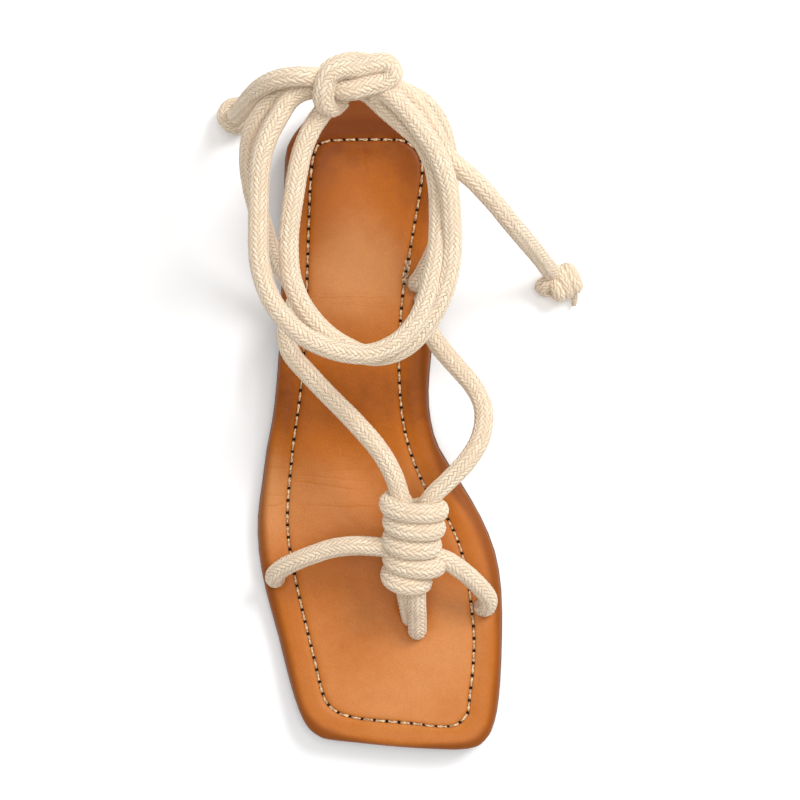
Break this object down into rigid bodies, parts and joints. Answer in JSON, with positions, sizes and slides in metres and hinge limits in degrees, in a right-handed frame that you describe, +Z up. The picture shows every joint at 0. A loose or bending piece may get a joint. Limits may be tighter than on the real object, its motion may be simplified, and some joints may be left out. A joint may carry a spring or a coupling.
{
  "type": "rope sandal",
  "caption": "Flat square-toed sandal with a leather footbed and a braided rope upper: toe post, coil, forefoot band and a tied ankle wrap.",
  "frame": {"origin": "on the floor under the ball of the foot, at the middle of the outsole's flat spot", "axes": "+Y towards the heel, +X towards the big toe side, +Z up"},
  "size_m": [0.1385, 0.2517, 0.0941],
  "materials": {
    "leather": "smooth, semi-matt",
    "sole": "matt",
    "rope": "braided cotton, matt"
  },
  "bodies": {
    "root": {"footbed": "leather", "outsole": "sole", "heel_lift": "sole", "rope_upper": "rope", "back_knot": "rope", "tie_end_lateral": "rope", "end_knot_lateral": "rope", "tie_end_medial": "rope", "end_knot_medial": "rope"}
  },
  "joints": []
}
